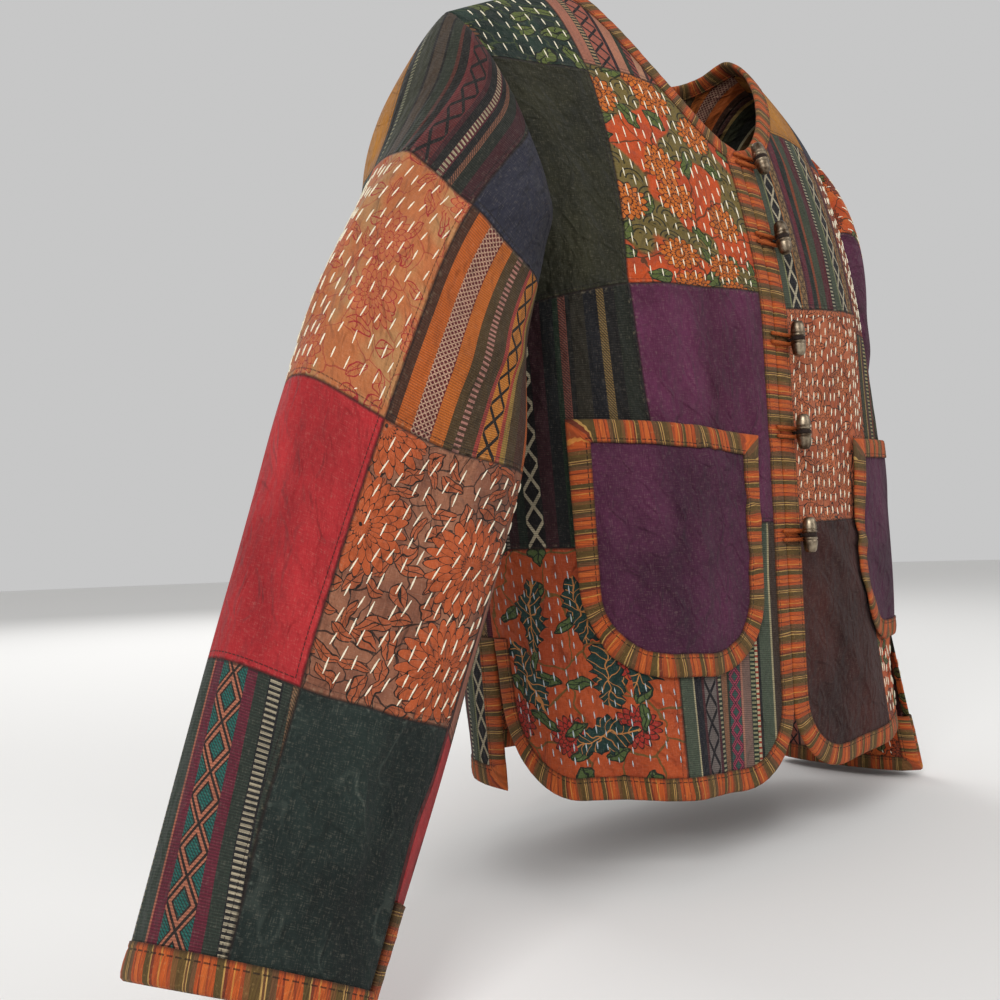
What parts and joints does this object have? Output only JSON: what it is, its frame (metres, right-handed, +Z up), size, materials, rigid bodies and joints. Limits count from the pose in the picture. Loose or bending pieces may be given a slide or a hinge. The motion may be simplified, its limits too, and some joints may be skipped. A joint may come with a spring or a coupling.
{
  "type": "kantha patchwork jacket",
  "caption": "Collarless open-hollow patchwork jacket with bound edges, patch pockets and toggle fastening, in the form it has when worn, one sleeve held out",
  "frame": {"origin": "midway between the two points where the shoulder seams meet the neck, which is where the wearer's shoulders hold the jacket", "axes": "+Z up along the standing wearer, -Y the way the wearer faces, +X to the wearer's left; the jacket is thinnest along Y"},
  "size_m": [0.8365, 0.3083, 0.6928],
  "materials": {
    "body_cloth": "patchwork of printed, plain and striped cotton with running stitches",
    "sleeve_cloth": "patchwork of printed, plain and striped cotton with running stitches",
    "pocket_cloth": "plain dark purple cotton",
    "binding_cloth": "crosswise striped cotton binding in orange, rust and olive",
    "toggle_metal": "antiqued silver-coloured metal with a dark band"
  },
  "bodies": {
    "root": {"front_right": "body_cloth", "front_left": "body_cloth", "back_right": "body_cloth", "back_left": "body_cloth", "sleeve_right_upper": "sleeve_cloth", "sleeve_right_lower": "sleeve_cloth", "sleeve_left_upper": "sleeve_cloth", "sleeve_left_lower": "sleeve_cloth", "pocket_right": "pocket_cloth", "pocket_left": "pocket_cloth", "binding_front_right": "binding_cloth", "binding_front_left": "binding_cloth", "binding_back_neck": "binding_cloth", "binding_back_hem": "binding_cloth", "binding_cuff_right": "binding_cloth", "binding_cuff_left": "binding_cloth", "binding_pocket_right": "binding_cloth", "binding_pocket_left": "binding_cloth", "loop_1": "binding_cloth", "loop_2": "binding_cloth", "loop_3": "binding_cloth", "loop_4": "binding_cloth", "loop_5": "binding_cloth", "toggle_1": "toggle_metal", "toggle_2": "toggle_metal", "toggle_3": "toggle_metal", "toggle_4": "toggle_metal", "toggle_5": "toggle_metal"}
  },
  "joints": []
}
